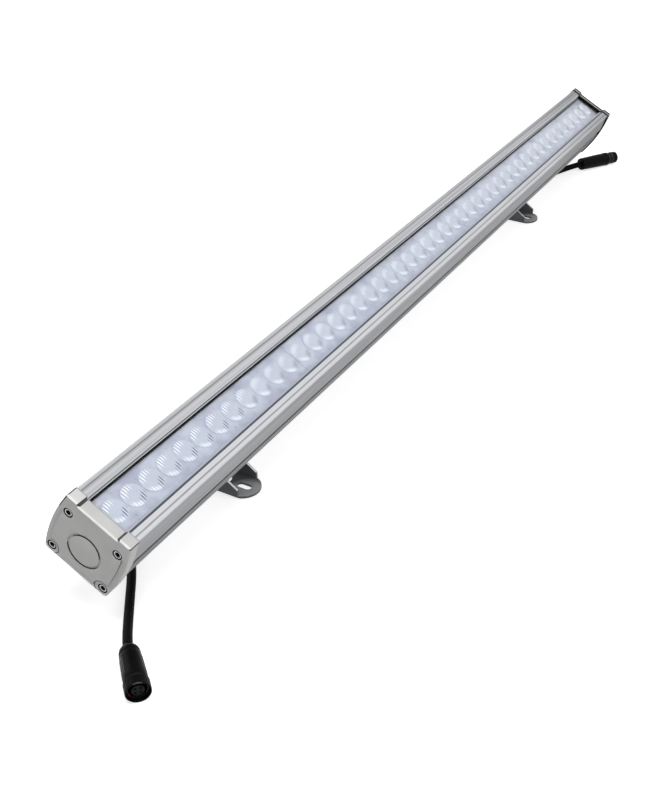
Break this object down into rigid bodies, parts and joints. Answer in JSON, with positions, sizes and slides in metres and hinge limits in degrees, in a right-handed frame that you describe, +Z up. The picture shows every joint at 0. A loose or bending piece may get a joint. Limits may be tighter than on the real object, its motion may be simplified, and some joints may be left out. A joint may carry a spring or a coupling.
{
  "type": "wall washer light",
  "caption": "Long narrow LED wall washer lamp in an aluminium extrusion with ribbed lenses under glass, tilting on sliding floor or wall brackets, with a plug lead and a socket lead.",
  "frame": {"origin": "on the floor, midway between the centre holes of the two bracket feet, below the tilt axis", "axes": "+X along the lamp towards the plug end, +Z up, lamp face leaning towards -Y"},
  "size_m": [1.1046, 0.134, 0.1095],
  "materials": {
    "anodised_aluminium": "satin anodised",
    "cast_aluminium": "grey powder coat",
    "black_rubber": "matt",
    "grey_silicone": "matt",
    "stainless_steel": "bright",
    "clear_glass": "polished",
    "clear_plastic": "clear",
    "white_board": "solder mask",
    "led_yellow": "phosphor",
    "green_board": "solder mask",
    "dark_components": "moulded",
    "red_wire": "insulated",
    "black_nylon": "moulded",
    "maroon_rubber": "matt",
    "brass_contact": "plated",
    "painted_steel": "grey powder coat",
    "zinc_steel": "zinc plated"
  },
  "bodies": {
    "lamp": {"board_screws": "stainless_steel", "driver_board": "green_board", "driver_components": "dark_components", "far_cable": "black_rubber", "far_cable_gland": "black_nylon", "far_cap_gasket": "black_rubber", "far_cap_screws": "stainless_steel", "far_clamp_nut": "black_nylon", "far_end_cap": "cast_aluminium", "far_gland_seal": "black_rubber", "far_leads": "red_wire", "far_lock_nut": "black_nylon", "far_plug_body": "black_nylon", "far_plug_insert": "black_nylon", "far_plug_pins": "brass_contact", "far_plug_ring": "black_rubber", "front_glass": "clear_glass", "glass_seals": "black_rubber", "housing": "anodised_aluminium", "led_board_1": "white_board", "led_board_2": "white_board", "led_board_3": "white_board", "led_board_4": "white_board", "led_leads": "red_wire", "led_packages_1": "led_yellow", "led_packages_2": "led_yellow", "led_packages_3": "led_yellow", "led_packages_4": "led_yellow", "lens_strip_1": "clear_plastic", "lens_strip_2": "clear_plastic", "lens_strip_3": "clear_plastic", "lens_strip_4": "clear_plastic", "near_cable": "black_rubber", "near_cable_gland": "black_nylon", "near_cap_gasket": "grey_silicone", "near_cap_screws": "stainless_steel", "near_clamp_nut": "black_nylon", "near_end_cap": "cast_aluminium", "near_gland_seal": "black_rubber", "near_leads": "red_wire", "near_lock_nut": "black_nylon", "near_socket_body": "black_nylon", "near_socket_contacts": "brass_contact", "near_socket_insert": "black_nylon", "near_socket_seal": "maroon_rubber"},
    "near_slider": {"near_carrier": "painted_steel", "near_t_nut": "zinc_steel", "near_track_screw": "zinc_steel"},
    "near_foot": {"near_base": "painted_steel", "near_pivot_bolt": "zinc_steel", "near_pivot_washers": "zinc_steel", "near_pivot_nut": "zinc_steel"},
    "far_slider": {"far_carrier": "painted_steel", "far_t_nut": "zinc_steel", "far_track_screw": "zinc_steel"},
    "far_foot": {"far_base": "painted_steel", "far_pivot_bolt": "zinc_steel", "far_pivot_washers": "zinc_steel", "far_pivot_nut": "zinc_steel"},
    "coupling_nut": {"near_coupling_nut": "black_nylon"}
  },
  "joints": [
    {"name": "near_bracket_slide", "type": "slide", "parent": "lamp", "child": "near_slider", "axis": [1, 0, 0], "range_m": [-0.05, 0.2]},
    {"name": "near_bracket_tilt", "type": "hinge", "parent": "near_slider", "child": "near_foot", "pos_m": [-0.315, 0, 0.0334], "axis": [1, 0, 0], "range_deg": [-27.3, 82.7]},
    {"name": "far_bracket_slide", "type": "slide", "parent": "lamp", "child": "far_slider", "axis": [1, 0, 0], "range_m": [-0.2, 0.05]},
    {"name": "far_bracket_tilt", "type": "hinge", "parent": "far_slider", "child": "far_foot", "pos_m": [0.315, 0, 0.0334], "axis": [1, 0, 0], "range_deg": [-27.3, 82.7]},
    {"name": "coupling_nut_turn", "type": "hinge", "parent": "lamp", "child": "coupling_nut", "pos_m": [-0.54161, -0.08768, 0.0093], "axis": [-0.6845, -0.729, 0], "continuous": true}
  ]
}
